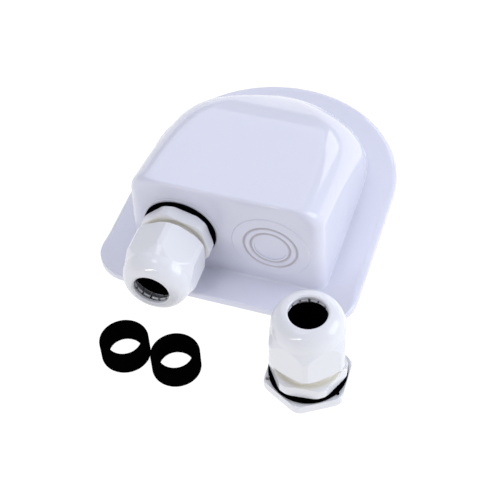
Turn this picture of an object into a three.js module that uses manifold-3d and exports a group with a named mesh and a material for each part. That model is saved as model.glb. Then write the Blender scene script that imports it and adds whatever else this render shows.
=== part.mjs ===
// Roof cable-entry housing with two nylon cable glands and two spare seals, in millimetres, +Z up.
//
// The housing glues to a roof by the underside of its flange. Its front wall takes two glands: the left
// hole is open and holds a gland, the right one is still closed by its moulded knock-out. The second gland
// stands on its thread in front of the housing, beside two spare rubber seals.
import * as THREE from "three";
import { mergeVertices } from "three/addons/utils/BufferGeometryUtils.js";
import Module from "manifold-3d";

const wasm = await Module();
wasm.setup();

// ---------------------------------------------------------------- driving dimensions

const GAP = 0.25; // clearance left between pieces that touch
const ROUND = 32; // sides of a turned surface

// Flange: a flat plate, straight at the front and round at the back. y = 0 is its front edge.
const FLANGE = { halfWidth: 50, thick: 3, cornerRadius: 14, backCentreY: 68 };
const RIM_FRONT = { inset: 0.7, drop: 0.6 }; // rounding of the top edge along the front
const RIM_SIDE = { inset: 3.3, drop: 2.4 }; // and along the sides and the back
const RIM_BLEND = [4, 22]; // the rounding grows between these two y

// Hood: the hollow box on the flange.
const HOOD = {
  halfWidth: 37.6,
  frontY: 13.5,
  backCentreY: 69.6,
  frontHeight: 43.5,
  draft: 0.045, // the walls lean in by this much per millimetre of height
  cornerRadius: 5, // between the front wall and the side walls
  frontEdge: 1.2, // rounding between the front wall and the roof
  wall: 2.5,
};
const ROOF = { slope: 0.175, bendY: 58, endY: 108.9 }; // it falls evenly to the bend, then curves down to z = 0
const FILLET = { front: 9.3, growth: 36, over: 86.5, power: 3.2 }; // rounding between roof and side walls

// Gland seats in the front wall: the open one on the left, and the one with the knock-out.
const OPEN_SEAT_X = -16.6;
const CLOSED_SEAT_X = 17.4;
const SEAT_Z = 21.5;
const HOLE_RADIUS = 10.5;
const KNOCKOUT = { grooves: [10.5, 7.9], width: 1.1, depth: 0.9 };

// Gland, size PG13.5. Its own z runs out of the panel, with 0 on the underside of its hexagon.
const PITCH = 1.41;
const THREAD_RADIUS = 10.2;
const THREAD_LENGTH = 8.35;
const CAP_THREAD_RADIUS = 10.9;
const RIDGE = 0.55; // depth of a thread
const BODY = { acrossFlats: 24.6, cornerRadius: 13.5, hexHeight: 5.3, neckTop: 9.7, rim: 13.5, bore: 7 };
const POCKET = { radius: 9.3, floor: 9.4 }; // the body's mouth, where the claw cage sits
const CAP = {
  acrossFlats: 25,
  cornerRadius: 13.9,
  length: 21.2,
  hexTop: 10.8,
  crease: 14.3, // where the dome starts
  creaseRadius: 12.45,
  bore: 11.2,
  boreDepth: 6.4,
  upperBore: 10.5,
  taperFrom: 15.8,
  taperTo: 19.4,
  mouthRadius: 6.6,
  rimRadius: 7.1,
};
const CAP_SEATED = 7.5; // the fitted cap's lower edge above the hexagon's underside
const LOOSE_TURNS = 600 / 360; // the standing gland's cap is unscrewed this far
const CAGE = { claws: 14, slot: 0.8, outer: 10.2, inner: 9, tipOuter: 7.7, tipInner: 6.75 };
const SEAL = { outer: 8.7, inner: 6.05, height: 8.2 };
const SKIRT = { outer: 7.3, bottom: 10.9 }; // lower end of a mounted seal, inside the cage's spigot
const GASKET = { outer: 13.7, inner: 10.5, thick: 1.35 };
const NUT = { acrossFlats: 27.6, cornerRadius: 15.6, bore: 10.5, thick: 3.7 };

// Places of the loose pieces on the table, and how each hexagon is turned.
const LOOSE_GLAND = { x: 42.2, y: -23.6 };
const SPARE_SEALS = { spare_seal_left: [-23, -30.3], spare_seal_right: [-3.7, -30.7] };
const FITTED_TURN = { body: 43.5, cap: 28, nut: 10 };
const LOOSE_TURN = { body: 6, cap: 42, nut: 31.5 };

// ---------------------------------------------------------------- materials

const plastic = (color, roughness) => new THREE.MeshStandardMaterial({ color, roughness, metalness: 0 });
const HOUSING_WHITE = plastic(0xdfe0f2, 0.22);
const NYLON_WHITE = plastic(0xebecf1, 0.35);
const RUBBER_BLACK = plastic(0x0b0b0c, 0.7);

// ---------------------------------------------------------------- solids

// A closed geometry as a solid that can be joined and cut.
function solid(geometry) {
  const bare = new THREE.BufferGeometry();
  bare.setAttribute("position", geometry.getAttribute("position"));
  if (geometry.index) bare.setIndex(geometry.index);
  const merged = mergeVertices(bare, 1e-4);
  const corners = merged.index.array;
  const kept = [];
  for (let i = 0; i < corners.length; i += 3) {
    const [a, b, c] = corners.slice(i, i + 3);
    if (a !== b && b !== c && c !== a) kept.push(a, b, c);
  }
  const mesh = new wasm.Mesh({
    numProp: 3,
    vertProperties: new Float32Array(merged.attributes.position.array),
    triVerts: new Uint32Array(kept),
  });
  return new wasm.Manifold(mesh);
}

// A solid as a geometry again.
function geometryOf(shape) {
  const mesh = shape.getMesh();
  const geometry = new THREE.BufferGeometry();
  geometry.setAttribute("position", new THREE.BufferAttribute(mesh.vertProperties, 3));
  geometry.setIndex(new THREE.BufferAttribute(mesh.triVerts, 1));
  const flat = geometry.toNonIndexed();
  flat.computeVertexNormals();
  return flat;
}

// A body of revolution about z, from a closed profile of [radius, z] points.
function turned(profile, sides = ROUND) {
  const points = profile.map(([radius, z]) => new THREE.Vector2(radius, z));
  const geometry = new THREE.LatheGeometry([...points, points[0]], sides);
  geometry.rotateX(Math.PI / 2);
  const shape = solid(geometry);
  return shape.volume() > 0 ? shape : solid(turnedInsideOut(geometry));
}

function turnedInsideOut(geometry) {
  const corners = geometry.index.array;
  for (let i = 0; i < corners.length; i += 3) [corners[i], corners[i + 1]] = [corners[i + 1], corners[i]];
  return geometry;
}

// A hexagonal prism about z with a corner at the given angle.
function hexPrism(acrossFlats, bottom, top, cornerDegrees) {
  const outline = new THREE.Shape();
  for (let corner = 0; corner < 6; corner++) {
    const angle = THREE.MathUtils.degToRad(cornerDegrees + 60 * corner);
    const radius = acrossFlats / Math.sqrt(3);
    if (corner) outline.lineTo(radius * Math.cos(angle), radius * Math.sin(angle));
    else outline.moveTo(radius * Math.cos(angle), radius * Math.sin(angle));
  }
  const geometry = new THREE.ExtrudeGeometry(outline, { depth: top - bottom, bevelEnabled: false });
  geometry.translate(0, 0, bottom);
  return solid(geometry);
}

// A closed skin through rings of equal point count, with each end closed by a fan.
function loft(rings) {
  const count = rings[0].length;
  const positions = [];
  for (const ring of rings) for (const point of ring) positions.push(point.x, point.y, point.z);
  for (const ring of [rings[0], rings[rings.length - 1]]) {
    const middle = new THREE.Vector3();
    for (const point of ring) middle.addScaledVector(point, 1 / count);
    positions.push(middle.x, middle.y, middle.z);
  }
  const index = [];
  for (let i = 0; i < count; i++) {
    const next = (i + 1) % count;
    for (let k = 0; k + 1 < rings.length; k++) {
      const low = k * count;
      const high = low + count;
      index.push(low + i, low + next, high + next, low + i, high + next, high + i);
    }
    const firstMiddle = rings.length * count;
    const last = (rings.length - 1) * count;
    index.push(firstMiddle, next, i);
    index.push(firstMiddle + 1, last + i, last + next);
  }
  const geometry = new THREE.BufferGeometry();
  geometry.setAttribute("position", new THREE.Float32BufferAttribute(positions, 3));
  geometry.setIndex(index);
  return solid(geometry);
}

// ---------------------------------------------------------------- housing

// The flange's outline, counter-clockwise from the front, as points with their outward normals.
function flangeOutline() {
  const { halfWidth, cornerRadius, backCentreY } = FLANGE;
  const outline = [];
  const arc = (centreX, centreY, radius, from, to, steps) => {
    for (let step = 0; step <= steps; step++) {
      const angle = THREE.MathUtils.degToRad(from + ((to - from) * step) / steps);
      const normal = new THREE.Vector3(Math.cos(angle), Math.sin(angle), 0);
      const point = new THREE.Vector3(centreX, centreY, 0).addScaledVector(normal, radius);
      outline.push({ point, normal });
    }
  };
  arc(halfWidth - cornerRadius, cornerRadius, cornerRadius, -90, 0, 8);
  arc(0, backCentreY, halfWidth, 0, 180, 32);
  arc(cornerRadius - halfWidth, cornerRadius, cornerRadius, 180, 270, 8);
  return outline;
}

function flange() {
  const outline = flangeOutline();
  const rimRing = (turn) =>
    outline.map(({ point, normal }) => {
      const side = THREE.MathUtils.smoothstep(point.y, ...RIM_BLEND);
      const inset = THREE.MathUtils.lerp(RIM_FRONT.inset, RIM_SIDE.inset, side) * (1 - Math.cos(turn));
      const drop = THREE.MathUtils.lerp(RIM_FRONT.drop, RIM_SIDE.drop, side) * (1 - Math.sin(turn));
      return point.clone().addScaledVector(normal, -inset).setZ(FLANGE.thick - drop);
    });
  const rings = [outline.map(({ point }) => point.clone())];
  for (let step = 0; step <= 4; step++) rings.push(rimRing((step * Math.PI) / 8));
  return loft(rings);
}

// The back of the roof is an arc, tangent to the sloping roof at the bend.
function roofArc() {
  const bend = new THREE.Vector2(ROOF.bendY, HOOD.frontHeight - ROOF.slope * (ROOF.bendY - HOOD.frontY));
  const chord = new THREE.Vector2(ROOF.endY, 0).sub(bend);
  const bendAngle = Math.atan(ROOF.slope);
  const radius = chord.length() / 2 / Math.sin(-chord.angle() - bendAngle);
  const centre = bend.sub(new THREE.Vector2(Math.sin(bendAngle), Math.cos(bendAngle)).multiplyScalar(radius));
  return { centre, radius };
}
const ROOF_ARC = roofArc();

// Height of the roof at y, or with an inset the height of its inner surface.
function roofHeight(y, inset) {
  const { centre, radius } = ROOF_ARC;
  const flatHeight = HOOD.frontHeight - ROOF.slope * (y - HOOD.frontY);
  if (y < ROOF.bendY) return flatHeight - inset * Math.hypot(1, ROOF.slope);
  return centre.y + Math.sqrt((radius - inset) ** 2 - (y - centre.x) ** 2);
}

// Half the hood's width at its foot. The front corners are rounded and the back is a half circle.
function hoodHalfWidth(y, inset) {
  const width = HOOD.halfWidth - inset;
  const corner = Math.max(HOOD.cornerRadius - inset, 1);
  const intoCorner = HOOD.frontY + inset + corner - y;
  if (intoCorner > 0) return width - corner + Math.sqrt(Math.max(0, corner ** 2 - intoCorner ** 2));
  const intoBack = Math.max(0, y - HOOD.backCentreY);
  return Math.sqrt(Math.max(0, width ** 2 - intoBack ** 2));
}

// Radius of the rounding between the roof and the side walls, which grows towards the back.
function filletRadius(y, inset) {
  const share = Math.max(0, (y - HOOD.frontY) / FILLET.over);
  return FILLET.front + FILLET.growth * share ** FILLET.power - inset;
}

// One cross-section of the hood at y: up the right wall, over the roof and down the left wall. Where the
// rounding is larger than the rise over the flange, its arc starts at the flange.
function hoodSection(y, inset, foot) {
  const toFront = y - HOOD.frontY - inset;
  const edge = Math.max(0, HOOD.frontEdge - toFront);
  const edgeDrop = HOOD.frontEdge - Math.sqrt(Math.max(0, HOOD.frontEdge ** 2 - edge ** 2));
  const height = Math.max(FLANGE.thick + 0.4, roofHeight(y, inset) - edgeDrop);
  const width = hoodHalfWidth(y, inset);
  const radius = filletRadius(y, inset);
  const arcStart = Math.asin(Math.max(0, 1 - (height - FLANGE.thick) / radius));
  const arcFoot = height - radius * (1 - Math.sin(arcStart));
  const wallTop = width - HOOD.draft * arcFoot;
  const arcCentre = Math.max(0.05 * width, wallTop - radius * Math.cos(arcStart));
  const arcReach = (wallTop - arcCentre) / Math.cos(arcStart);
  const right = [new THREE.Vector3(width - HOOD.draft * foot, y, foot)];
  const steps = 6;
  for (let step = 0; step <= steps; step++) {
    const turn = THREE.MathUtils.lerp(arcStart, Math.PI / 2, step / steps);
    const x = arcCentre + arcReach * Math.cos(turn);
    right.push(new THREE.Vector3(x, y, height - radius * (1 - Math.sin(turn))));
  }
  const left = right.map((point) => point.clone().setX(-point.x)).reverse();
  return [...left, ...right].reverse();
}

// The hood as a solid, or with an inset the space inside it.
function hood(inset, foot) {
  const front = HOOD.frontY + inset;
  const back = HOOD.backCentreY + HOOD.halfWidth - inset - 0.35;
  const stations = [0, 0.16, 0.6, 1.2, 2.6, 5].map((depth) => front + depth);
  for (let step = 1; step <= 3; step++) {
    stations.push(THREE.MathUtils.lerp(front + 5, ROOF.bendY, step / 3));
  }
  const curved = 12;
  for (let step = 1; step <= curved; step++) {
    stations.push(ROOF.bendY + (back - ROOF.bendY) * Math.sin((step * Math.PI) / 2 / curved));
  }
  return loft(stations.map((y) => hoodSection(y, inset, foot)));
}

// A body of revolution whose axis runs out of the front wall at x, with its z = 0 on the wall's face.
function onFrontWall(shape, x) {
  return shape.rotate([90, 0, 0]).translate([x, HOOD.frontY, SEAT_Z]);
}

function entryHousing() {
  const hole = turned([[0, 1], [HOLE_RADIUS, 1], [HOLE_RADIUS, -HOOD.wall - 1], [0, -HOOD.wall - 1]]);
  let shape = flange().add(hood(0, 0)).subtract(hood(HOOD.wall, -1));
  shape = shape.subtract(onFrontWall(hole, OPEN_SEAT_X));
  for (const outer of KNOCKOUT.grooves) {
    const inner = outer - KNOCKOUT.width;
    const groove = turned([[inner, 1], [outer, 1], [outer, -KNOCKOUT.depth], [inner, -KNOCKOUT.depth]]);
    shape = shape.subtract(onFrontWall(groove, CLOSED_SEAT_X));
  }
  return shape;
}

// ---------------------------------------------------------------- gland pieces

// Thread crests as [radius, z] points from low to high, drawn as rings.
function ridges(crest, low, high) {
  const points = [];
  const count = Math.round((high - low) / PITCH);
  const step = (high - low) / count;
  for (let turn = 0; turn < count; turn++) {
    points.push([crest - RIDGE, low + turn * step], [crest, low + (turn + 0.5) * step]);
  }
  points.push([crest - RIDGE, high]);
  return points;
}

function glandBody(turn) {
  const { acrossFlats, cornerRadius, hexHeight, neckTop, rim, bore } = BODY;
  const thread = turned([
    [bore, -THREAD_LENGTH],
    ...ridges(THREAD_RADIUS, -THREAD_LENGTH, -0.6),
    [THREAD_RADIUS - RIDGE, 1],
    [THREAD_RADIUS - RIDGE, 4],
    [CAP_THREAD_RADIUS - RIDGE, hexHeight - 0.5],
    ...ridges(CAP_THREAD_RADIUS, neckTop, rim),
    [POCKET.radius, rim],
    [POCKET.radius, POCKET.floor],
    [bore, POCKET.floor],
  ]);
  const collar = turned([
    [bore + 1, 0],
    [cornerRadius - 0.5, 0],
    [cornerRadius, 0.5],
    [cornerRadius, hexHeight - 0.9],
    [acrossFlats / 2 - 0.3, hexHeight - 0.2],
    [CAP_THREAD_RADIUS - 0.2, hexHeight],
    [bore + 1, hexHeight],
  ]);
  return thread.add(collar.intersect(hexPrism(acrossFlats, -1, hexHeight + 1, turn)));
}

// The cap nut, with z = 0 on its lower edge: a turned shape with a domed end, and six flats.
function capNut(turn) {
  const dome = [];
  const domeSteps = 7;
  for (let step = 0; step <= domeSteps; step++) {
    const angle = (step * Math.PI) / 2 / domeSteps;
    dome.push([
      CAP.rimRadius + (CAP.creaseRadius - CAP.rimRadius) * Math.cos(angle),
      CAP.crease + (CAP.length - CAP.crease) * Math.sin(angle),
    ]);
  }
  const shell = turned([
    [CAP.bore, 0],
    [CAP.cornerRadius - 1, 0],
    [CAP.cornerRadius, 0.8],
    [CAP.cornerRadius, CAP.hexTop],
    ...dome,
    [CAP.mouthRadius, CAP.length - 0.35],
    [CAP.mouthRadius, CAP.length - 1.4],
    [CAP.mouthRadius + 1, CAP.taperTo],
    [CAP.upperBore, CAP.taperFrom],
    [CAP.upperBore, CAP.boreDepth + 0.7],
    [CAP.bore, CAP.boreDepth],
  ]);
  return shell.intersect(hexPrism(CAP.acrossFlats, -1, CAP.length + 1, turn));
}

// Claw cage in the gland's z, for a seated cap: a spigot in the body's mouth, a collar on its rim, and
// claws that stand round the seal and close over it.
const COLLAR_BOTTOM = BODY.rim + GAP;
const COLLAR_TOP = COLLAR_BOTTOM + 0.8;
const CLAW_BEND = COLLAR_TOP + GAP + SEAL.height + GAP;
const CLAW_TIP = CLAW_BEND + 3.1;

function clawCage() {
  const spigot = { outer: POCKET.radius - 0.3, inner: 7.6, bottom: POCKET.floor + 0.3 };
  const ring = turned([
    [spigot.inner, spigot.bottom],
    [spigot.outer, spigot.bottom],
    [spigot.outer, COLLAR_BOTTOM],
    [CAGE.outer, COLLAR_BOTTOM],
    [CAGE.outer, CLAW_BEND],
    [CAGE.tipOuter, CLAW_TIP],
    [CAGE.tipInner, CLAW_TIP],
    [CAGE.tipInner, CLAW_TIP - 0.5],
    [CAGE.inner, CLAW_BEND - 0.1],
    [CAGE.inner, COLLAR_TOP],
    [spigot.inner, COLLAR_TOP],
  ], 42);
  const slotBottom = COLLAR_TOP + 1.2;
  const height = CLAW_TIP + 1 - slotBottom;
  const reach = CAGE.outer + 1;
  let cage = ring;
  for (let claw = 0; claw < CAGE.claws; claw++) {
    const slot = new THREE.BoxGeometry(reach, CAGE.slot, height);
    slot.translate(reach / 2, 0, slotBottom + height / 2);
    slot.rotateZ((claw * 2 * Math.PI) / CAGE.claws);
    cage = cage.subtract(solid(slot));
  }
  return cage;
}

function ringOf({ outer, inner }, bottom, top) {
  return turned([[inner, bottom], [outer, bottom], [outer, top], [inner, top]]);
}

// The seal inside a claw cage: the sleeve of the spare seals, with a narrower skirt below it.
function sealInsert() {
  const bottom = COLLAR_TOP + GAP;
  return turned([
    [SEAL.inner, SKIRT.bottom],
    [SKIRT.outer, SKIRT.bottom],
    [SKIRT.outer, bottom],
    [SEAL.outer, bottom],
    [SEAL.outer, bottom + SEAL.height],
    [SEAL.inner, bottom + SEAL.height],
  ]);
}

function locknut(turn, top) {
  const bottom = top - NUT.thick;
  const blank = turned([
    [NUT.bore, bottom],
    [NUT.cornerRadius - 0.4, bottom],
    [NUT.cornerRadius, bottom + 0.4],
    [NUT.cornerRadius, top - 0.4],
    [NUT.cornerRadius - 0.4, top],
    [NUT.bore, top],
  ]);
  return blank.intersect(hexPrism(NUT.acrossFlats, bottom - 1, top + 1, turn));
}

// ---------------------------------------------------------------- assembly

function named(name, shape, material) {
  const mesh = new THREE.Mesh(geometryOf(shape), material);
  mesh.name = name;
  return mesh;
}

// A whole gland: capLift is how far its cap and the pieces in the cap are unscrewed, nutTop where its
// locknut starts below the hexagon.
function gland(prefix, turns, capLift, nutTop) {
  const lifted = (shape) => shape.translate([0, 0, capLift]);
  const group = new THREE.Group();
  group.add(
    named(`${prefix}_gland_body`, glandBody(turns.body), NYLON_WHITE),
    named(`${prefix}_gasket`, ringOf(GASKET, -GAP - GASKET.thick, -GAP), RUBBER_BLACK),
    named(`${prefix}_claw_cage`, lifted(clawCage()), NYLON_WHITE),
    named(`${prefix}_seal_insert`, lifted(sealInsert()), RUBBER_BLACK),
    named(`${prefix}_cap_nut`, lifted(capNut(turns.cap)).translate([0, 0, CAP_SEATED]), NYLON_WHITE),
    named(`${prefix}_locknut`, locknut(turns.nut, nutTop), NYLON_WHITE),
  );
  return group;
}

const seatDepth = GAP + GASKET.thick; // from the wall's face to the underside of the hexagon
const kit = new THREE.Group();
kit.add(named("entry_housing", entryHousing(), HOUSING_WHITE));

const fitted = gland("fitted", FITTED_TURN, 0, -seatDepth - GAP - HOOD.wall - GAP);
fitted.rotation.x = Math.PI / 2;
fitted.position.set(OPEN_SEAT_X, HOOD.frontY - GAP - seatDepth, SEAT_Z);
kit.add(fitted);

const loose = gland("loose", LOOSE_TURN, LOOSE_TURNS * PITCH, -seatDepth - GAP);
loose.position.set(LOOSE_GLAND.x, LOOSE_GLAND.y, THREAD_LENGTH);
kit.add(loose);

for (const [name, [x, y]] of Object.entries(SPARE_SEALS)) {
  const seal = named(name, ringOf(SEAL, 0, SEAL.height), RUBBER_BLACK);
  seal.position.set(x, y, 0);
  kit.add(seal);
}

// The frame's origin is the middle of the kit's footprint, on the table.
const footprint = new THREE.Box3().setFromObject(kit);
const middle = footprint.getCenter(new THREE.Vector3());
kit.position.set(-middle.x, -middle.y, -footprint.min.z);

const group = new THREE.Group();
group.add(kit);
export default group;
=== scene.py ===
import math

import bmesh
import bpy
import numpy as np
from mathutils import Matrix, Vector


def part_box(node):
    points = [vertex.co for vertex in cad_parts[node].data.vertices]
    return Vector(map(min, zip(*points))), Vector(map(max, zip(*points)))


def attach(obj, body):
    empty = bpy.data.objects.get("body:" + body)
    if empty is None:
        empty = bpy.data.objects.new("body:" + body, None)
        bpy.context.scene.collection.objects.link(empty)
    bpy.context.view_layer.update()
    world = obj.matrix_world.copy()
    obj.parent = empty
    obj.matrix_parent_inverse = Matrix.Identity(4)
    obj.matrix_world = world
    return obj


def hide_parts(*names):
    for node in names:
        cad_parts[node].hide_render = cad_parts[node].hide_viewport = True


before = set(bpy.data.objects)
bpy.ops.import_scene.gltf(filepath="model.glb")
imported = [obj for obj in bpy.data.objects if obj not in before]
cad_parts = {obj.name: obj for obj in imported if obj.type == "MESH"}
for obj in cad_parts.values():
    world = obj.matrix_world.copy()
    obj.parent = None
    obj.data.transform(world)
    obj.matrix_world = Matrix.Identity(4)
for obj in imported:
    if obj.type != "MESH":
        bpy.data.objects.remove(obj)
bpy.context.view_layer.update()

MM = 0.001
TAU = 2 * math.pi

# ---------------------------------------------------------------- camera

CAMERA_PLACE = Vector((0.1071, -0.2948, 0.3539))
CAMERA_FORWARD = Vector((-0.2275, 0.6084, -0.7603)).normalized()
CAMERA_ROLL = math.radians(-3.24)
CAMERA_LENS = 88.46


def make_camera():
    data = bpy.data.cameras.new("camera")
    data.lens = CAMERA_LENS
    data.sensor_width = 36
    data.clip_start = 0.01
    camera = bpy.data.objects.new("camera", data)
    bpy.context.scene.collection.objects.link(camera)
    level = CAMERA_FORWARD.cross(Vector((0, 0, 1))).normalized()
    upright = level.cross(CAMERA_FORWARD)
    right = level * math.cos(CAMERA_ROLL) + upright * math.sin(CAMERA_ROLL)
    up = upright * math.cos(CAMERA_ROLL) - level * math.sin(CAMERA_ROLL)
    turn = Matrix((right, up, -CAMERA_FORWARD)).transposed()
    camera.matrix_world = Matrix.Translation(CAMERA_PLACE) @ turn.to_4x4()
    bpy.context.scene.camera = camera


make_camera()

# ---------------------------------------------------------------- studio

LIGHT_DISTANCE = 1.2
FLOOR_HALF, FLOOR_DROP = 12.0, 0.00005


def make_world(horizon, zenith):
    """Studio dome, darker round the horizon than overhead."""
    world = bpy.data.worlds.new("studio")
    world.use_nodes = True
    tree = world.node_tree
    direction = tree.nodes.new("ShaderNodeTexCoord")
    height = tree.nodes.new("ShaderNodeSeparateXYZ")
    blend = tree.nodes.new("ShaderNodeMix")
    blend.data_type = "RGBA"
    blend.inputs["A"].default_value = (*horizon, 1)
    blend.inputs["B"].default_value = (*zenith, 1)
    tree.links.new(direction.outputs["Generated"], height.inputs["Vector"])
    tree.links.new(height.outputs["Z"], blend.inputs["Factor"])
    tree.links.new(blend.outputs["Result"], tree.nodes["Background"].inputs["Color"])
    bpy.context.scene.world = world


def make_floor(glow):
    """A plain pale sheet a hair below the pieces.

    It glows to stay shadowless, but not where it is closed in."""
    half = FLOOR_HALF
    mesh = bpy.data.meshes.new("floor")
    corners = [(-half, -half, 0), (half, -half, 0), (half, half, 0), (-half, half, 0)]
    mesh.from_pydata(corners, [], [(0, 1, 2, 3)])
    floor = bpy.data.objects.new("floor", mesh)
    floor.location.z = -FLOOR_DROP
    bpy.context.scene.collection.objects.link(floor)
    material = bpy.data.materials.new("floor_white")
    material.use_nodes = True
    tree = material.node_tree
    shader = tree.nodes["Principled BSDF"]
    shader.inputs["Base Color"].default_value = (0.05, 0.05, 0.05, 1)
    shader.inputs["Roughness"].default_value = 0.9
    shader.inputs["Specular IOR Level"].default_value = 0.1
    shader.inputs["Emission Color"].default_value = (1, 1, 1, 1)
    openness = tree.nodes.new("ShaderNodeAmbientOcclusion")
    openness.inputs["Distance"].default_value = 0.03
    openness.samples = 8
    level = tree.nodes.new("ShaderNodeMapRange")
    level.inputs["From Min"].default_value = 0.02
    level.inputs["From Max"].default_value = 0.12
    level.inputs["To Max"].default_value = glow
    tree.links.new(openness.outputs["AO"], level.inputs["Value"])
    tree.links.new(level.outputs["Result"], shader.inputs["Emission Strength"])
    mesh.materials.append(material)


def softbox(name, direction, sizes, radiance, colour=(1, 1, 1), along=(0, 0, 1)):
    """A softbox in this direction from the object, with its second size along the given direction."""
    data = bpy.data.lights.new(name, "AREA")
    data.shape = "RECTANGLE"
    data.size, data.size_y = sizes
    data.energy = radiance * math.pi * sizes[0] * sizes[1]
    data.color = colour
    light = bpy.data.objects.new(name, data)
    bpy.context.scene.collection.objects.link(light)
    back = Vector(direction).normalized()
    side = Vector(along).cross(back).normalized()
    turn = Matrix((side, back.cross(side), back)).transposed()
    light.matrix_world = Matrix.Translation(back * LIGHT_DISTANCE) @ turn.to_4x4()


make_world((0.45, 0.45, 0.465), (0.54, 0.55, 0.6))
make_floor(1.02)
softbox("key", (0.85, 0.23, 0.47), (0.8, 0.8), 3.8, (0.86, 0.92, 1.0))
softbox("overhead", (-0.16, -0.08, 0.98), (0.3, 0.3), 3.0, along=(0, 1, 0))
softbox("back_panel", (-0.385, 0.723, 0.574), (1.1, 0.8), 0.85, (0.9, 0.93, 1.0))
softbox("back_window", (0.215, 0.932, 0.292), (0.44, 0.36), 1.9, (0.95, 0.97, 1.0))
softbox("strip", (-0.26, -0.81, 0.5), (0.03, 0.7), 34.0, along=(0.786, 0.079, 0.613))
bpy.context.scene.view_settings.view_transform = "Standard"

# ---------------------------------------------------------------- materials

def nodes_of(name):
    material = bpy.data.materials.new(name)
    material.use_nodes = True
    tree = material.node_tree
    return material, tree, tree.nodes["Principled BSDF"]


def noise(tree, scale, detail=3.0, roughness=0.5):
    """Three-dimensional noise in the piece's own space; scale is cells per metre."""
    place = tree.nodes.new("ShaderNodeTexCoord")
    texture = tree.nodes.new("ShaderNodeTexNoise")
    texture.inputs["Scale"].default_value = scale
    texture.inputs["Detail"].default_value = detail
    texture.inputs["Roughness"].default_value = roughness
    tree.links.new(place.outputs["Object"], texture.inputs["Vector"])
    return texture.outputs["Fac"]


def between(tree, fac, low, high):
    """Maps a 0 to 1 value on to the range low to high."""
    node = tree.nodes.new("ShaderNodeMapRange")
    node.inputs["To Min"].default_value = low
    node.inputs["To Max"].default_value = high
    tree.links.new(fac, node.inputs["Value"])
    return node.outputs["Result"]


def mixed(tree, fac, first, second):
    """Colour from first to second; each is a colour or another node's output."""
    node = tree.nodes.new("ShaderNodeMix")
    node.data_type = "RGBA"
    tree.links.new(fac, node.inputs["Factor"])
    for value, socket in ((first, node.inputs["A"]), (second, node.inputs["B"])):
        if isinstance(value, tuple):
            socket.default_value = (*value, 1)
        else:
            tree.links.new(value, socket)
    return node.outputs["Result"]


def bumped(tree, height, strength, distance, under=None):
    node = tree.nodes.new("ShaderNodeBump")
    node.inputs["Strength"].default_value = strength
    node.inputs["Distance"].default_value = distance
    tree.links.new(height, node.inputs["Height"])
    if under:
        tree.links.new(under, node.inputs["Normal"])
    return node.outputs["Normal"]


def moulded_plastic(name, light, dark, roughness, grain, recess_shade_colour):
    """White moulded plastic: faint clouding, uneven gloss, slow flow waves and a fine grain.

    Two attributes of a piece bring in painted shade in its recesses and a brown gate mark."""
    material, tree, shader = nodes_of(name)
    colour = mixed(tree, noise(tree, 45, 4), dark, light)
    for attribute, shade_and_stain_colour in (("painted_shade", recess_shade_colour), ("stain", (0.16, 0.1, 0.05))):
        weight = tree.nodes.new("ShaderNodeAttribute")
        weight.attribute_name = attribute
        colour = mixed(tree, weight.outputs["Fac"], colour, shade_and_stain_colour)
    tree.links.new(colour, shader.inputs["Base Color"])
    tree.links.new(between(tree, noise(tree, 220, 3), *roughness), shader.inputs["Roughness"])
    waves = bumped(tree, noise(tree, 60, 1), 0.25, 0.0004)
    tree.links.new(bumped(tree, noise(tree, 2600, 2), grain, 0.00004, waves), shader.inputs["Normal"])
    shader.inputs["IOR"].default_value = 1.5
    shader.inputs["Subsurface Weight"].default_value = 0.08
    shader.inputs["Subsurface Radius"].default_value = (1.0, 0.9, 0.8)
    shader.inputs["Subsurface Scale"].default_value = 0.0008
    return material


def black_rubber(name):
    """Dull black rubber with a fine matt grain and slightly dusty patches."""
    material, tree, shader = nodes_of(name)
    colour = mixed(tree, noise(tree, 120, 4), (0.0004, 0.0004, 0.0005), (0.0012, 0.0012, 0.0015))
    tree.links.new(colour, shader.inputs["Base Color"])
    tree.links.new(between(tree, noise(tree, 400, 3), 0.6, 0.8), shader.inputs["Roughness"])
    tree.links.new(bumped(tree, noise(tree, 3500, 3), 0.35, 0.00005), shader.inputs["Normal"])
    shader.inputs["Specular IOR Level"].default_value = 0.0
    shader.inputs["IOR"].default_value = 1.05
    return material


# The last colour of each plastic is painted shade for its recesses.
HOUSING_WHITE = moulded_plastic(
    "housing_white", (0.725, 0.73, 0.84), (0.695, 0.7, 0.815), (0.05, 0.09), 0.02, (0.5, 0.47, 0.49)
)
NYLON_WHITE = moulded_plastic(
    "nylon_white", (0.81, 0.815, 0.86), (0.78, 0.785, 0.83), (0.1, 0.15), 0.03, (0.72, 0.69, 0.6)
)
RUBBER = black_rubber("black_rubber")

# ---------------------------------------------------------------- mesh helpers

DOUBLES = 2e-7  # distance in metres under which vertices are merged


def grid_faces(rings, sides, loop):
    """Quads between rings of points; the points of a ring run round, and with loop the rings do too."""
    row = np.arange(rings if loop else rings - 1)
    ring, side = np.meshgrid(row, np.arange(sides), indexing="ij")
    up, on = (ring + 1) % rings, (side + 1) % sides
    corners = [ring * sides + side, ring * sides + on, up * sides + on, up * sides + side]
    return np.stack(corners, -1).reshape(-1, 4)


def clean(mesh):
    """Merges a mesh's doubles and recalculates which way its faces point."""
    work = bmesh.new()
    work.from_mesh(mesh)
    bmesh.ops.remove_doubles(work, verts=work.verts, dist=DOUBLES)
    bmesh.ops.recalc_face_normals(work, faces=work.faces)
    work.to_mesh(mesh)
    work.free()


def finished(name, mesh, material, sharp_angle=None):
    """A cleaned piece from a mesh, shaded smooth up to the sharp angle in degrees."""
    clean(mesh)
    mesh.polygons.foreach_set("use_smooth", np.ones(len(mesh.polygons), bool))
    if sharp_angle:
        mesh.set_sharp_from_angle(angle=math.radians(sharp_angle))
    mesh.materials.clear()
    mesh.materials.append(material)
    piece = bpy.data.objects.new(name, mesh)
    bpy.context.scene.collection.objects.link(piece)
    return piece


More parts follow.
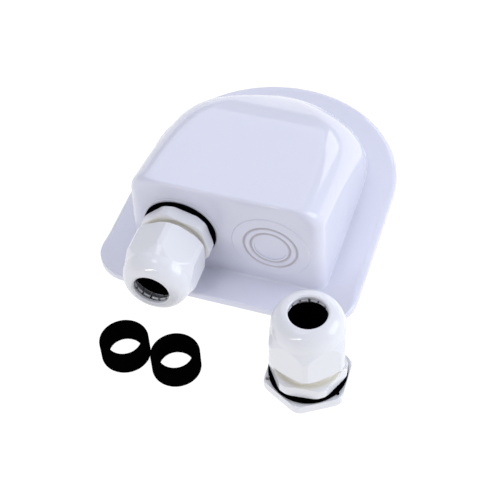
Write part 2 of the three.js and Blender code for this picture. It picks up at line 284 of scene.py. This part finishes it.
def raw_mesh(name, points, faces):
    mesh = bpy.data.meshes.new(name)
    mesh.from_pydata(points.reshape(-1, 3).tolist(), [], faces.tolist())
    return mesh


def carved(base, name, tools):
    """Base with each (operation, mesh) of tools applied in turn, as a new mesh. All are closed."""
    target = bpy.data.objects.new(name, base)
    bpy.context.scene.collection.objects.link(target)
    helpers = []
    for operation, mesh in tools:
        helper = bpy.data.objects.new(name + "_tool", mesh)
        bpy.context.scene.collection.objects.link(helper)
        helpers.append(helper)
        modifier = target.modifiers.new(operation.lower(), "BOOLEAN")
        modifier.operation = operation
        modifier.solver = "MANIFOLD"
        modifier.object = helper
    graph = bpy.context.evaluated_depsgraph_get()
    result = bpy.data.meshes.new_from_object(target.evaluated_get(graph))
    for helper in [target, *helpers]:
        bpy.data.objects.remove(helper)
    return result


def rounded(corners, step):
    """A closed profile as points at most step apart. Each corner is (radius, z) or (radius, z, rounding)."""
    points = []
    count = len(corners)
    spots = [np.array(corner[:2], float) for corner in corners]
    for i, corner in enumerate(corners):
        here, before, after = spots[i], spots[i - 1], spots[(i + 1) % count]
        rounding = corner[2] if len(corner) > 2 else 0
        if not rounding:
            points.append(here)
            continue
        back, on = before - here, after - here
        reach = 0.48 * min(np.linalg.norm(back), np.linalg.norm(on))
        back, on = back / np.linalg.norm(back), on / np.linalg.norm(on)
        half = math.acos(np.clip(back @ on, -1, 1)) / 2
        tangent = min(rounding / math.tan(half), reach)
        radius = tangent * math.tan(half)
        middle = back + on
        centre = here + middle / np.linalg.norm(middle) * radius / math.sin(half)
        first, last = here + back * tangent - centre, here + on * tangent - centre
        turn = math.atan2(first[0] * last[1] - first[1] * last[0], first @ last)
        steps = max(2, round(abs(turn) / 0.35))
        for k in range(steps + 1):
            c, s = math.cos(turn * k / steps), math.sin(turn * k / steps)
            points.append(centre + np.array([c * first[0] - s * first[1], s * first[0] + c * first[1]]))
    filled = []
    for here, after in zip(points, points[1:] + points[:1]):
        pieces = max(1, math.ceil(np.linalg.norm(after - here) / step))
        filled += [here + (after - here) * k / pieces for k in range(pieces)]
    return np.array(filled)


def hexagon(angles, across_flats, corner_degrees):
    """Distance from the axis to a hexagon's side at each angle."""
    from_flat = (angles - math.radians(corner_degrees)) % (TAU / 6) - TAU / 12
    return across_flats / 2 / np.cos(from_flat)


def soft_min(first, second, blend):
    """The smaller of two distances, with the crease between them rounded."""
    near = np.maximum(blend - np.abs(first - second), 0) / blend
    return np.minimum(first, second) - near**2 * blend / 4


def turned_points(profile, sides, flats=None, blend=0.3, relief=None):
    """Rings of a turned piece. flats is (across flats, corner angle); relief is added to the radius."""
    angles = np.arange(sides) * TAU / sides
    radius = np.repeat(profile[:, :1], sides, 1)
    height = np.repeat(profile[:, 1:2], sides, 1)
    if relief:
        radius = radius + relief(radius, height, angles[None, :])
    if flats:
        radius = soft_min(radius, hexagon(angles, *flats)[None, :], blend)
    return np.stack([radius * np.cos(angles), radius * np.sin(angles), height], -1)


def turned_mesh(name, profile, sides, place, **shape):
    points = place(turned_points(profile, sides, **shape))
    return raw_mesh(name, points, grid_faces(len(profile), sides, loop=True))


FRONT_AXES = ((1, 0, 0), (0, 0, 1), (0, -1, 0))  # of a frame whose z comes out of the front wall


def framed(origin, axes):
    """Placing function of a frame whose x, y and z lie along the rows of axes, and its inverse."""
    origin, axes = np.array(origin), np.array(axes, float)
    return (lambda points: points @ axes * MM + origin), (lambda points: (points - origin) / MM @ axes.T)


def paint(piece, local, name, weight):
    """Stores weight(radius, height, x, y) of each vertex as an attribute that the materials read."""
    mesh = piece.data
    places = np.zeros(3 * len(mesh.vertices), np.float32)
    mesh.vertices.foreach_get("co", places)
    x, y, z = local(places.reshape(-1, 3).astype(float)).T
    layer = mesh.attributes.new(name, "FLOAT", "POINT")
    layer.data.foreach_set("value", weight(np.hypot(x, y), z, x, y).astype(np.float32))


# ---------------------------------------------------------------- housing

FLANGE = {"half_width": 50, "thick": 3, "corner": 14, "back_y": 68}
RIM_FRONT = (0.7, 0.6)  # inset and drop of the flange's rounded top edge, along the front
RIM_SIDE = (3.3, 2.4)  # and along the sides and the back
RIM_BLEND = (4, 22)
HOOD = {"half_width": 37.6, "front_y": 13.5, "back_y": 69.6, "height": 43.48, "draft": 0.045, "corner": 5}
FRONT_EDGE = 1.2
WALL = 2.5
ROOF_SLOPE, ROOF_BEND_Y, ROOF_END_Y = 0.175, 58, 108.9
FILLET_FRONT, FILLET_GROWTH, FILLET_OVER, FILLET_POWER = 9.3, 36, 86.5, 3.2
JUNCTION = 0.8  # reach of the rounding between the hood and the flange
HOLE_RADIUS = 10.5
SEAT_RADIUS = 14.5
SEAT_SPACING = 34.0
OPEN_SEAT_RISE, CLOSED_SEAT_RISE = 0.16, 0.32
KNOCKOUT_GROOVES = ((10.5, 9.4), (7.9, 6.8))
GROOVE_DEPTH, GROOVE_FLARE = 0.5, 0.12

housing_low, housing_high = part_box("entry_housing")
HOUSING_ORIGIN = np.array([(housing_low.x + housing_high.x) / 2, housing_low.y, housing_low.z])


def in_row(points):
    """Housing frame in millimetres to row frame in metres."""
    return points * MM + HOUSING_ORIGIN


def on_front_wall(x, z):
    """Placing function for a shape turned about z, whose axis leaves the front wall at (x, z)."""
    def place(points):
        right, up, out = points[..., 0], points[..., 1], points[..., 2]
        return in_row(np.stack([x + right, HOOD["front_y"] - out, z + up], -1))
    return place


def roof_arc():
    bend_z = HOOD["height"] - ROOF_SLOPE * (ROOF_BEND_Y - HOOD["front_y"])
    bend_angle = math.atan(ROOF_SLOPE)
    along, down = ROOF_END_Y - ROOF_BEND_Y, bend_z
    fall = math.atan2(down, along)
    radius = math.hypot(along, down) / 2 / math.sin(fall - bend_angle)
    return ROOF_BEND_Y - radius * math.sin(bend_angle), bend_z - radius * math.cos(bend_angle), radius


ARC_Y, ARC_Z, ARC_RADIUS = roof_arc()


def roof_height(y, inset):
    """Height of the roof's outer surface, or of the surface inset under it."""
    slope = HOOD["height"] - ROOF_SLOPE * (y - HOOD["front_y"]) - inset * math.hypot(1, ROOF_SLOPE)
    reach = (ARC_RADIUS - inset) ** 2 - (y - ARC_Y) ** 2
    arc = np.where(reach > 0, ARC_Z + np.sqrt(np.maximum(reach, 0)), -1)
    height = np.where(y < ROOF_BEND_Y, slope, arc)
    edge = np.clip(FRONT_EDGE - (y - HOOD["front_y"] - inset), 0, FRONT_EDGE)
    return height - (FRONT_EDGE - np.sqrt(FRONT_EDGE**2 - edge**2))


def foot_half_width(y, inset):
    width = HOOD["half_width"] - inset
    corner = max(HOOD["corner"] - inset, 1)
    into = np.clip(HOOD["front_y"] + inset + corner - y, 0, corner)
    past = np.maximum(y - HOOD["back_y"], 0)
    rounded_front = width - corner + np.sqrt(np.maximum(corner**2 - into**2, 0))
    return np.where(into > 0, rounded_front, np.sqrt(np.maximum(width**2 - past**2, 0)))


def in_hood(x, y, z, inset):
    """Whether points are in the hood, or in the hollow whose surface is inset under the hood's."""
    height = roof_height(y, inset)
    width = foot_half_width(y, inset)
    share = np.maximum((y - HOOD["front_y"]) / FILLET_OVER, 0)
    radius = FILLET_FRONT + FILLET_GROWTH * share**FILLET_POWER - inset
    sine = np.clip(1 - (height - FLANGE["thick"]) / radius, 0, 0.999)
    cosine = np.sqrt(1 - sine**2)
    arc_foot = height - radius * (1 - sine)
    wall_top = width - HOOD["draft"] * arc_foot
    centre = np.maximum(0.05 * width, wall_top - radius * cosine)
    rise = np.clip((z - height) / radius + 1, -1, 1)
    over = centre + (wall_top - centre) / cosine * np.sqrt(1 - rise**2)
    half = np.where(z < arc_foot, width - HOOD["draft"] * z, over)
    return (z <= height) & (y >= HOOD["front_y"] + inset) & (np.abs(x) <= half) & (width > 0)


def arc_points(centre, radius, start, end, steps):
    """Points and outward normals along an arc, without its last point."""
    turns = np.radians(start + (end - start) * np.arange(steps) / steps)
    normals = np.stack([np.cos(turns), np.sin(turns)], -1)
    return np.array(centre) + radius * normals, normals


def line_points(start, end, normal, steps):
    shares = (np.arange(steps) / steps)[:, None]
    points = np.array(start) * (1 - shares) + np.array(end) * shares
    return points, np.repeat([normal], steps, 0)


FRONT_STEPS, CORNER_STEPS, SIDE_STEPS, BACK_STEPS = 34, 10, 18, 96


def outline(half_width, corner, front_y, back_y, skeleton_y):
    """The outline of the flange or the hood, counter-clockwise, with matching points on both.

    skeleton_y is where the side stops facing the front corner's diagonal and faces the middle line."""
    corner_x, corner_y = half_width - corner, front_y + corner
    parts = [
        line_points((-corner_x, front_y), (0, front_y), (0, -1), FRONT_STEPS),
        line_points((0, front_y), (corner_x, front_y), (0, -1), FRONT_STEPS),
        arc_points((corner_x, corner_y), corner, -90, 0, CORNER_STEPS),
        line_points((half_width, corner_y), (half_width, skeleton_y), (1, 0), FRONT_STEPS),
        line_points((half_width, skeleton_y), (half_width, back_y), (1, 0), SIDE_STEPS),
        arc_points((0, back_y), half_width, 0, 180, BACK_STEPS),
        line_points((-half_width, back_y), (-half_width, skeleton_y), (-1, 0), SIDE_STEPS),
        line_points((-half_width, skeleton_y), (-half_width, corner_y), (-1, 0), FRONT_STEPS),
        arc_points((-corner_x, corner_y), corner, 180, 270, CORNER_STEPS),
    ]
    return np.concatenate([p for p, n in parts]), np.concatenate([n for p, n in parts])


def hood_outline(inset):
    """The hood's foot, its normals, and for each point the end of its inward normal on the middle lines."""
    half_width = HOOD["half_width"] - inset
    front = HOOD["front_y"] + inset
    corner = max(HOOD["corner"] - inset, 1)
    points, normals = outline(half_width, corner, front, HOOD["back_y"], front + half_width)
    x, y = points[:, 0], points[:, 1]
    on_front = normals[:, 1] == -1
    on_side = np.abs(normals[:, 0]) == 1
    ends = np.stack([np.zeros_like(x), np.full_like(y, HOOD["back_y"])], -1)
    ends[on_front] = np.stack([x, front + half_width - np.abs(x)], -1)[on_front]
    inward = half_width - np.minimum(y - front, half_width)
    ends[on_side] = np.stack([np.sign(x) * inward, y], -1)[on_side]
    in_corner = ~on_front & ~on_side & (y < front + corner)
    centres = np.stack([np.sign(x) * (half_width - corner), np.full_like(y, front + corner)], -1)
    ends[in_corner] = centres[in_corner]
    return points, normals, ends


def hood_curves(inset, floor_z, samples):
    """From each point of the hood's foot, a curve up the wall and over the roof to the middle lines.

    Rays from the middle lines meet the surface; the samples crowd where a curve bends."""
    _, normals, ends = hood_outline(inset)
    rays = 1100
    tilt = np.linspace(0, math.pi / 2, rays)[None, :]
    flat, steep = np.cos(tilt), np.sin(tilt)
    near = np.zeros((len(ends), rays))
    far = np.full((len(ends), rays), 120.0)
    for _ in range(36):
        middle = (near + far) / 2
        x = ends[:, :1] + normals[:, :1] * flat * middle
        y = ends[:, 1:] + normals[:, 1:] * flat * middle
        inside = in_hood(x, y, floor_z + steep * middle, inset)
        near, far = np.where(inside, middle, near), np.where(inside, far, middle)
    out, up = near * flat, floor_z + near * steep
    curves = []
    for i in range(len(ends)):
        step_out, step_up = np.diff(out[i]), np.diff(up[i])
        length = np.hypot(step_out, step_up)
        heading = np.unwrap(np.arctan2(step_up, step_out))
        turning = np.abs(np.diff(heading, prepend=heading[0]))
        weight = np.concatenate([[0], np.cumsum(length + 7 * np.minimum(turning, 0.3))])
        wanted = np.linspace(0, weight[-1], samples)
        reach, height = np.interp(wanted, weight, out[i]), np.interp(wanted, weight, up[i])
        x, y = ends[i, 0] + normals[i, 0] * reach, ends[i, 1] + normals[i, 1] * reach
        curves.append(np.stack([x, y, height], -1))
    return np.array(curves).transpose(1, 0, 2)


def flat_ring(points, z):
    return np.concatenate([points, np.full((len(points), 1), z)], 1)


def flange_rim():
    """Rings round the flange's edge, from its underside up to where its flat top starts."""
    skeleton_y = FLANGE["corner"] + 0.6 * (FLANGE["back_y"] - FLANGE["corner"])
    edge, normals = outline(FLANGE["half_width"], FLANGE["corner"], 0, FLANGE["back_y"], skeleton_y)
    share = np.clip((edge[:, 1] - RIM_BLEND[0]) / (RIM_BLEND[1] - RIM_BLEND[0]), 0, 1)
    side = (share * share * (3 - 2 * share))[:, None]
    inset = RIM_FRONT[0] + (RIM_SIDE[0] - RIM_FRONT[0]) * side
    drop = RIM_FRONT[1] + (RIM_SIDE[1] - RIM_FRONT[1]) * side
    rings = [flat_ring(edge - 0.25 * normals, 0), flat_ring(edge, 0.25)]
    for step in range(13):
        turn = step / 12 * math.pi / 2
        ring = flat_ring(edge - normals * inset * (1 - math.cos(turn)), FLANGE["thick"])
        ring[:, 2:] -= drop * (1 - math.sin(turn))
        rings.append(ring)
    return rings


def junction(curves):
    """Rounds the corner between the flange's top and each curve of the hood."""
    foot = curves[0]
    _, normals, _ = hood_outline(0)
    outer = foot.copy()
    outer[:, :2] += JUNCTION * normals
    steps = np.linalg.norm(np.diff(curves, axis=0), axis=2)
    travelled = np.concatenate([np.zeros((1, curves.shape[1])), np.cumsum(steps, axis=0)])
    moved = curves.copy()
    for i in range(curves.shape[1]):
        start = travelled[:, i]
        wanted = JUNCTION + (start - start[0]) / start[-1] * (start[-1] - JUNCTION)
        for axis in range(3):
            moved[:, i, axis] = np.interp(wanted, start, curves[:, i, axis])
    inner = moved[0]
    rings = []
    for step in range(9):
        t = step / 9
        rings.append(outer * (1 - t) ** 2 + 2 * foot * t * (1 - t) + inner * t**2)
    return rings, moved


def housing_shell():
    rim = flange_rim()
    outer = hood_curves(0, FLANGE["thick"], 84)
    corner_rings, outer = junction(outer)
    top_start, top_end = rim[-1], corner_rings[0]
    flat_top = [top_start + (top_end - top_start) * k / 8 for k in range(1, 8)]
    inner = hood_curves(WALL, 0, 40)
    skin = np.array(rim + flat_top + corner_rings + list(outer))
    lining = np.array([rim[0], *inner])
    sides = skin.shape[1]
    lining_faces = grid_faces(len(lining), sides, loop=False) + len(skin) * sides
    faces = np.concatenate([grid_faces(len(skin), sides, loop=False), lining_faces[:, ::-1]])
    points = in_row(np.concatenate([skin.reshape(-1, 3), lining.reshape(-1, 3)]))
    mesh = raw_mesh("housing_shell", points, faces)
    clean(mesh)
    return mesh


def entry_housing():
    low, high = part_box("fitted_gasket")
    open_x = ((low.x + high.x) / 2 - HOUSING_ORIGIN[0]) / MM
    seat_z = (low.z + high.z) / 2 / MM
    closed_x = open_x + SEAT_SPACING
    tools = []
    for x, rise in ((open_x, OPEN_SEAT_RISE), (closed_x, CLOSED_SEAT_RISE)):
        disc = rounded([(6, -1.2), (SEAT_RADIUS + 0.1, -1.2), (SEAT_RADIUS + 0.1, -0.02),
                        (SEAT_RADIUS - 0.15, rise, 0.15), (6, rise)], 0.6)
        tools.append(("UNION", turned_mesh("seat", disc, 200, on_front_wall(x, seat_z))))
    hole = rounded([(1, 1), (HOLE_RADIUS + 0.5, 1), (HOLE_RADIUS, OPEN_SEAT_RISE - 0.25, 0.3),
                    (HOLE_RADIUS, -WALL - 1), (1, -WALL - 1)], 0.6)
    tools.append(("DIFFERENCE", turned_mesh("hole", hole, 200, on_front_wall(open_x, seat_z))))
    lip = CLOSED_SEAT_RISE
    grooves = [(inner - GROOVE_FLARE, outer + GROOVE_FLARE) for outer, inner in KNOCKOUT_GROOVES]
    for inner, outer in grooves:
        across = np.linspace(0, 1, 15)
        depth = GROOVE_DEPTH * (1 - np.cos(TAU * across)) / 2
        channel = np.stack([inner + (outer - inner) * across, lip + 0.004 - depth], -1)
        cutter = np.concatenate([channel, [(outer, 1), (inner, 1)]])
        tools.append(("DIFFERENCE", turned_mesh("groove", cutter, 240, on_front_wall(closed_x, seat_z))))
    mesh = carved(housing_shell(), "housing", tools)
    housing = finished("housing_body", mesh, HOUSING_WHITE, sharp_angle=32)
    centre = in_row(np.array([[closed_x, HOOD["front_y"], seat_z]]))[0]
    local = framed(centre, FRONT_AXES)[1]
    # Painted shade in the knock-out grooves, darker towards each groove's floor.
    paint(housing, local, "painted_shade", lambda radius, z, x, y: sum(
        (radius > inner) & (radius < outer) & (z > -1) for inner, outer in grooves
    ) * np.clip((lip - z) / GROOVE_DEPTH, 0, 1))
    return housing


# ---------------------------------------------------------------- gland pieces

GAP = 0.25
PITCH = 1.41
THREAD_RADIUS, THREAD_LENGTH, CAP_THREAD_RADIUS, RIDGE = 10.2, 8.35, 10.9, 0.55
BODY = {"across": 24.6, "corner": 13.5, "hex_height": 5.3, "neck_top": 9.7, "rim": 13.5, "bore": 7}
POCKET_RADIUS, POCKET_FLOOR = 9.3, 9.4
CAP = {"across": 25, "corner": 13.9, "length": 21.2, "hex_top": 10.8, "crease": 14.3, "crease_radius": 12.45,
       "bore": 11.2, "bore_depth": 6.4, "upper_bore": 10.5, "taper_from": 15.8, "taper_to": 19.4,
       "mouth": 6.6, "rim": 7.1}
CLAWS, SLOT = 14, 0.8
CAGE = {"outer": 10.2, "inner": 9, "tip_outer": 7.7, "tip_inner": 6.75}
SEAL = {"outer": 8.7, "inner": 6.05, "height": 8.2}
SKIRT = {"outer": 7.3, "bottom": 10.9}
GASKET = {"outer": 13.7, "inner": 10.5}
NUT = {"across": 27.6, "corner": 15.6, "bore": 10.5}
NUT_RIDGE = 0.4  # depth of the thread in a cap nut or a locknut
BODY_BLEND, CAP_BLEND, NUT_BLEND = 0.12, 0.1, 0.2  # rounding where a hexagon's flats meet the turned shape
SPIGOT = {"inner": 7.6, "play": 0.3}  # lower end of the claw cage, with its play in the body's pocket
STUB = {"length": 0.75, "half_width": 0.42}  # what a mould's gate leaves on a gasket
DIMPLE = {"depth": 0.35, "floor_radius": 0.45, "radius": 0.8, "sides": 28}  # an ejector pin's mark
STAIN = {"middle": 1.15, "fade": 0.9}  # brown mark round the dimple: its strength, and how fast it fades
NECK_SHADE = {"from": 13.0, "over": 1.6, "above": 4.7}  # radii and height of the painted shade on the neck over the hexagon
FINE = 360  # points round a turned surface with flats
TURNED = 160  # and round a plain one
STUBBED = 400  # and round a gasket with a stub


def raised(place, lift):
    return lambda points: place(points + np.array([0, 0, lift]))


def v_thread(depth, low, high):
    """Relief of a helical thread between two heights: 0 at its crests, -depth at its roots and its ends."""
    def relief(radius, height, angles):
        turn = (height / PITCH - angles / TAU) % 1
        groove = np.clip(1.35 * np.abs(2 * turn - 1) - 0.18, 0, 1)
        ends = np.clip(1 - np.minimum(height - low, high - height) / (0.5 * PITCH), 0, 1)
        return -depth * np.maximum(groove, ends)
    return relief


def on_thread(thread, radius_of_crest, low, high):
    """Applies a thread's relief only to the stretch of a profile that lies on its crest."""
    def relief(radius, height, angles):
        on_it = (np.abs(radius - radius_of_crest) < 0.02) & (height > low - 0.01) & (height < high + 0.01)
        return np.where(on_it, thread(radius, height, angles), 0)
    return relief


def both(*reliefs):
    return lambda radius, height, angles: sum(relief(radius, height, angles) for relief in reliefs)


def run(radius, low, high):
    """A stretch of profile along the axis, close enough together for a thread."""
    count = math.ceil(abs(high - low) / (PITCH / 11))
    return [(radius, low + (high - low) * k / count) for k in range(count + 1)]


def gland_body(name, place, corner_degrees):
    low, high = -THREAD_LENGTH + 0.3, -0.5
    cap_low, cap_high = BODY["neck_top"], BODY["rim"] - 0.3
    root, cap_root = THREAD_RADIUS - RIDGE, CAP_THREAD_RADIUS - RIDGE
    side, top = BODY["corner"], BODY["hex_height"]
    profile = rounded([
        (BODY["bore"], -THREAD_LENGTH, 0.3), (root - 0.1, -THREAD_LENGTH, 0.25),
        *run(THREAD_RADIUS, low, high), (root, high + 0.1),
        (root, 0, 0.15), (side - 0.5, 0, 0.25), (side, 0.5, 0.25), (side, top - 0.9, 0.25),
        (BODY["across"] / 2 - 0.3, top - 0.2, 0.3), (cap_root + 0.55, top, 0.3), (cap_root, top + 0.5, 0.3),
        (cap_root, cap_low - 0.1), *run(CAP_THREAD_RADIUS, cap_low, cap_high),
        (cap_root - 0.1, BODY["rim"], 0.2), (POCKET_RADIUS, BODY["rim"], 0.2),
        (POCKET_RADIUS, POCKET_FLOOR, 0.2), (BODY["bore"], POCKET_FLOOR, 0.3),
    ], 0.3)
    relief = both(
        on_thread(v_thread(RIDGE, low, high), THREAD_RADIUS, low, high),
        on_thread(v_thread(RIDGE, cap_low, cap_high), CAP_THREAD_RADIUS, cap_low, cap_high),
    )
    flats = (BODY["across"], corner_degrees)
    mesh = turned_mesh(name, profile, FINE, place, flats=flats, blend=BODY_BLEND, relief=relief)
    return finished(name, mesh, NYLON_WHITE)


def cap_nut(name, place, corner_degrees):
    """Hexagonal skirt with a threaded bore, and a domed end that closes over the claws."""
    rim, crease = CAP["rim"], CAP["crease_radius"]
    dome = []
    for step in range(1, 24):
        turn = step / 24 * math.pi / 2
        rise = (CAP["length"] - CAP["crease"]) * math.sin(turn)
        dome.append((rim + (crease - rim) * math.cos(turn), CAP["crease"] + rise))
    low, high = 0.6, CAP["bore_depth"] - 0.2
    profile = rounded([
        (CAP["bore"] + 0.3, 0, 0.2), (CAP["corner"] - 1, 0, 0.3), (CAP["corner"], 0.8, 0.4),
        (CAP["corner"], CAP["hex_top"], 0.5), (crease, CAP["crease"], 0.2), *dome,
        (rim, CAP["length"], 0.12), (CAP["mouth"], CAP["length"] - 0.35, 0.25),
        (CAP["mouth"], CAP["length"] - 1.4, 0.2), (CAP["mouth"] + 1, CAP["taper_to"]),
        (CAP["upper_bore"], CAP["taper_from"], 0.4), (CAP["upper_bore"], CAP["bore_depth"] + 0.7),
        *run(CAP["bore"], high, low),
    ], 0.32)
    thread = on_thread(v_thread(-NUT_RIDGE, low, high), CAP["bore"], low, high)
    flats = (CAP["across"], corner_degrees)
    mesh = turned_mesh(name, profile, FINE, place, flats=flats, blend=CAP_BLEND, relief=thread)
    return finished(name, mesh, NYLON_WHITE)


COLLAR_BOTTOM = BODY["rim"] + GAP
COLLAR_TOP = COLLAR_BOTTOM + 0.8
SEAL_BOTTOM = COLLAR_TOP + GAP
CLAW_BEND = SEAL_BOTTOM + SEAL["height"] + GAP
CLAW_TIP = CLAW_BEND + 3.1


def box_grid(low, high, turns):
    """Closed boxes, one for each angle in turns, as one mesh's points and faces."""
    spans = list(zip(low, high))
    corners = np.array([[x, y, z] for x in spans[0] for y in spans[1] for z in spans[2]])
    sides = np.array([[0, 1, 3, 2], [4, 6, 7, 5], [0, 4, 5, 1], [2, 3, 7, 6], [0, 2, 6, 4], [1, 5, 7, 3]])
    points, faces = [], []
    for k, turn in enumerate(turns):
        c, s = math.cos(turn), math.sin(turn)
        points.append(corners @ np.array([[c, s, 0], [-s, c, 0], [0, 0, 1]]))
        faces.append(sides + 8 * k)
    return np.concatenate(points), np.concatenate(faces)


def claw_cage(name, place):
    inner, outer, bottom = SPIGOT["inner"], POCKET_RADIUS - SPIGOT["play"], POCKET_FLOOR + SPIGOT["play"]
    profile = rounded([
        (inner, bottom, 0.2), (outer, bottom, 0.3), (outer, COLLAR_BOTTOM, 0.1),
        (CAGE["outer"], COLLAR_BOTTOM, 0.2), (CAGE["outer"], CLAW_BEND, 1.2),
        (CAGE["tip_outer"], CLAW_TIP, 0.25), (CAGE["tip_inner"], CLAW_TIP, 0.2),
        (CAGE["tip_inner"], CLAW_TIP - 0.5, 0.2), (CAGE["inner"], CLAW_BEND - 0.1, 0.6),
        (CAGE["inner"], COLLAR_TOP, 0.2), (inner, COLLAR_TOP, 0.2),
    ], 0.35)
    ring = turned_mesh(name, profile, 20 * CLAWS, place)
    turns = np.arange(CLAWS) * TAU / CLAWS
    low, high = (3, -SLOT / 2, COLLAR_TOP + 1.2), (CAGE["outer"] + 1, SLOT / 2, CLAW_TIP + 1)
    points, faces = box_grid(low, high, turns)
    slots = raw_mesh("slots", place(points), faces)
    return finished(name, carved(ring, name, [("DIFFERENCE", slots)]), NYLON_WHITE, sharp_angle=40)


def mounted_seal(name, place):
    top = SEAL_BOTTOM + SEAL["height"]
    profile = rounded([
        (SEAL["inner"], SKIRT["bottom"], 0.3), (SKIRT["outer"], SKIRT["bottom"], 0.3),
        (SKIRT["outer"], SEAL_BOTTOM), (SEAL["outer"], SEAL_BOTTOM, 0.3),
        (SEAL["outer"], top, 0.35), (SEAL["inner"], top, 0.35),
    ], 0.4)
    return finished(name, turned_mesh(name, profile, TURNED, place), RUBBER, sharp_angle=50)


def rubber_ring(name, place, outer, inner, bottom, top, rounding, nub_degrees=None):
    """A rubber ring with soft edges; nub_degrees is the angle of its gate stub, if it has one."""
    profile = rounded([
        (inner, bottom, rounding), (outer, bottom, rounding), (outer, top, rounding), (inner, top, rounding)
    ], 0.4)
    if nub_degrees is None:
        return finished(name, turned_mesh(name, profile, TURNED, place), RUBBER)

    def stub(radius, height, angles):
        across = (np.degrees(angles) - nub_degrees + 180) % 360 - 180
        share = across * outer * math.pi / 180 / STUB["half_width"]
        return np.where(radius > outer - 0.3, STUB["length"] * np.exp(-(share**4)), 0)

    return finished(name, turned_mesh(name, profile, STUBBED, place, relief=stub), RUBBER)


def locknut(name, place, corner_degrees, bottom, top, pin=None):
    """Hexagonal nut; pin is the place of the ejector pin's dimple as (radius, angle)."""
    low, high = bottom + 0.4, top - 0.4
    profile = rounded([
        (NUT["bore"] + NUT_RIDGE, bottom, 0.15), (NUT["corner"] - 0.5, bottom, 0.3),
        (NUT["corner"], bottom + 0.5, 0.3), (NUT["corner"], top - 0.5, 0.3),
        (NUT["corner"] - 0.5, top, 0.3), (NUT["bore"] + NUT_RIDGE, top, 0.15),
        *run(NUT["bore"], high, low),
    ], 0.3)
    thread = on_thread(v_thread(-NUT_RIDGE, low, high), NUT["bore"], low, high)
    flats = (NUT["across"], corner_degrees)
    mesh = turned_mesh(name, profile, FINE, place, flats=flats, blend=NUT_BLEND, relief=thread)
    if pin is None:
        return finished(name, mesh, NYLON_WHITE)
    radius, turn = pin[0], math.radians(pin[1])
    floor, wide, sides = top - DIMPLE["depth"], DIMPLE["radius"], DIMPLE["sides"]
    dimple = rounded([
        (0.02, floor), (DIMPLE["floor_radius"], floor, 0.3), (wide, top + 0.02),
        (wide, top + 1), (0.02, top + 1)
    ], 0.12)
    points = turned_points(dimple, sides) + np.array([radius * math.cos(turn), radius * math.sin(turn), 0])
    cutter = raw_mesh("pin", place(points), grid_faces(len(dimple), sides, loop=True))
    return finished(name, carved(mesh, name, [("DIFFERENCE", cutter)]), NYLON_WHITE, sharp_angle=35)


def settle(piece, body, node):
    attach(piece, body)
    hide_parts(node)


def build_gland(prefix, origin, axes, bodies, turns, gasket_nub, pin):
    """One gland in the frame with this origin and these axes; bodies name what each piece rides on."""
    place, local = framed(origin, axes)

    def span(node):
        """Lowest and highest z of a node in the gland's frame."""
        ends = [local(np.array(corner))[2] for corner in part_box(f"{prefix}_{node}")]
        return min(ends), max(ends)

    # Painted shade on the neck over the hexagon, darker further in from the outer radius.
    def neck_shade(radius, z, x, y):
        depth = np.clip((NECK_SHADE["from"] - radius) / NECK_SHADE["over"], 0, 1)
        return depth * (z > NECK_SHADE["above"]) * (z < BODY["neck_top"])

    body = gland_body(f"{prefix}_body_moulding", place, turns["body"])
    paint(body, local, "painted_shade", neck_shade)
    settle(body, bodies["body"], f"{prefix}_gland_body")
    bottom, top = span("gasket")
    gasket = rubber_ring(
        f"{prefix}_washer", place, GASKET["outer"], GASKET["inner"], bottom, top, 0.28, gasket_nub
    )
    settle(gasket, bodies["gasket"], f"{prefix}_gasket")
    cap_bottom, _ = span("cap_nut")
    cage_bottom, _ = span("claw_cage")
    lift = cage_bottom - POCKET_FLOOR - SPIGOT["play"]
    cage = claw_cage(f"{prefix}_claws", raised(place, lift))
    settle(cage, bodies["insert"], f"{prefix}_claw_cage")
    seal = mounted_seal(f"{prefix}_sleeve", raised(place, lift))
    settle(seal, bodies["insert"], f"{prefix}_seal_insert")
    cap = cap_nut(f"{prefix}_cap", raised(place, cap_bottom), turns["cap"])
    settle(cap, bodies["cap"], f"{prefix}_cap_nut")
    nut_bottom, nut_top = span("locknut")
    nut = locknut(f"{prefix}_nut", place, turns["nut"], nut_bottom, nut_top, pin)
    if pin:
        px, py = pin[0] * math.cos(math.radians(pin[1])), pin[0] * math.sin(math.radians(pin[1]))

        def stain(radius, z, x, y):
            return np.clip(STAIN["middle"] - np.hypot(x - px, y - py) / STAIN["fade"], 0, 1)

        paint(nut, local, "stain", stain)
    settle(nut, bodies["nut"], f"{prefix}_locknut")


def middle_of(node):
    low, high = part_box(node)
    return (low + high) / 2


# ---------------------------------------------------------------- assembly

settle(entry_housing(), "housing", "entry_housing")

fitted_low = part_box("fitted_gasket")[0]
fitted_middle = middle_of("fitted_gasket")
build_gland(
    "fitted",
    (fitted_middle.x, fitted_low.y - GAP * MM, fitted_middle.z),
    FRONT_AXES,
    {"body": "housing", "gasket": "housing", "insert": "fitted_insert",
     "cap": "fitted_cap", "nut": "fitted_nut"},
    {"body": 43.5, "cap": 28, "nut": 10},
    gasket_nub=None,
    pin=None,
)
seal_low, seal_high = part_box("loose_seal_insert")
gasket_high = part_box("loose_gasket")[1]
build_gland(
    "loose",
    ((seal_low.x + seal_high.x) / 2, (seal_low.y + seal_high.y) / 2, gasket_high.z + GAP * MM),
    ((1, 0, 0), (0, 1, 0), (0, 0, 1)),
    {"body": "loose_body", "gasket": "loose_washer", "insert": "loose_insert",
     "cap": "loose_cap", "nut": "loose_nut"},
    {"body": 6, "cap": 42, "nut": 31.5},
    gasket_nub=-28,
    pin=(14.1, -150.6),
)
for side in ("left", "right"):
    node = f"spare_seal_{side}"
    centre = middle_of(node)
    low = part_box(node)[0]
    place, _ = framed((centre.x, centre.y, low.z), np.eye(3))
    sleeve = rubber_ring(
        f"spare_sleeve_{side}", place, SEAL["outer"], SEAL["inner"], 0, SEAL["height"], 0.35
    )
    settle(sleeve, f"spare_{side}", node)
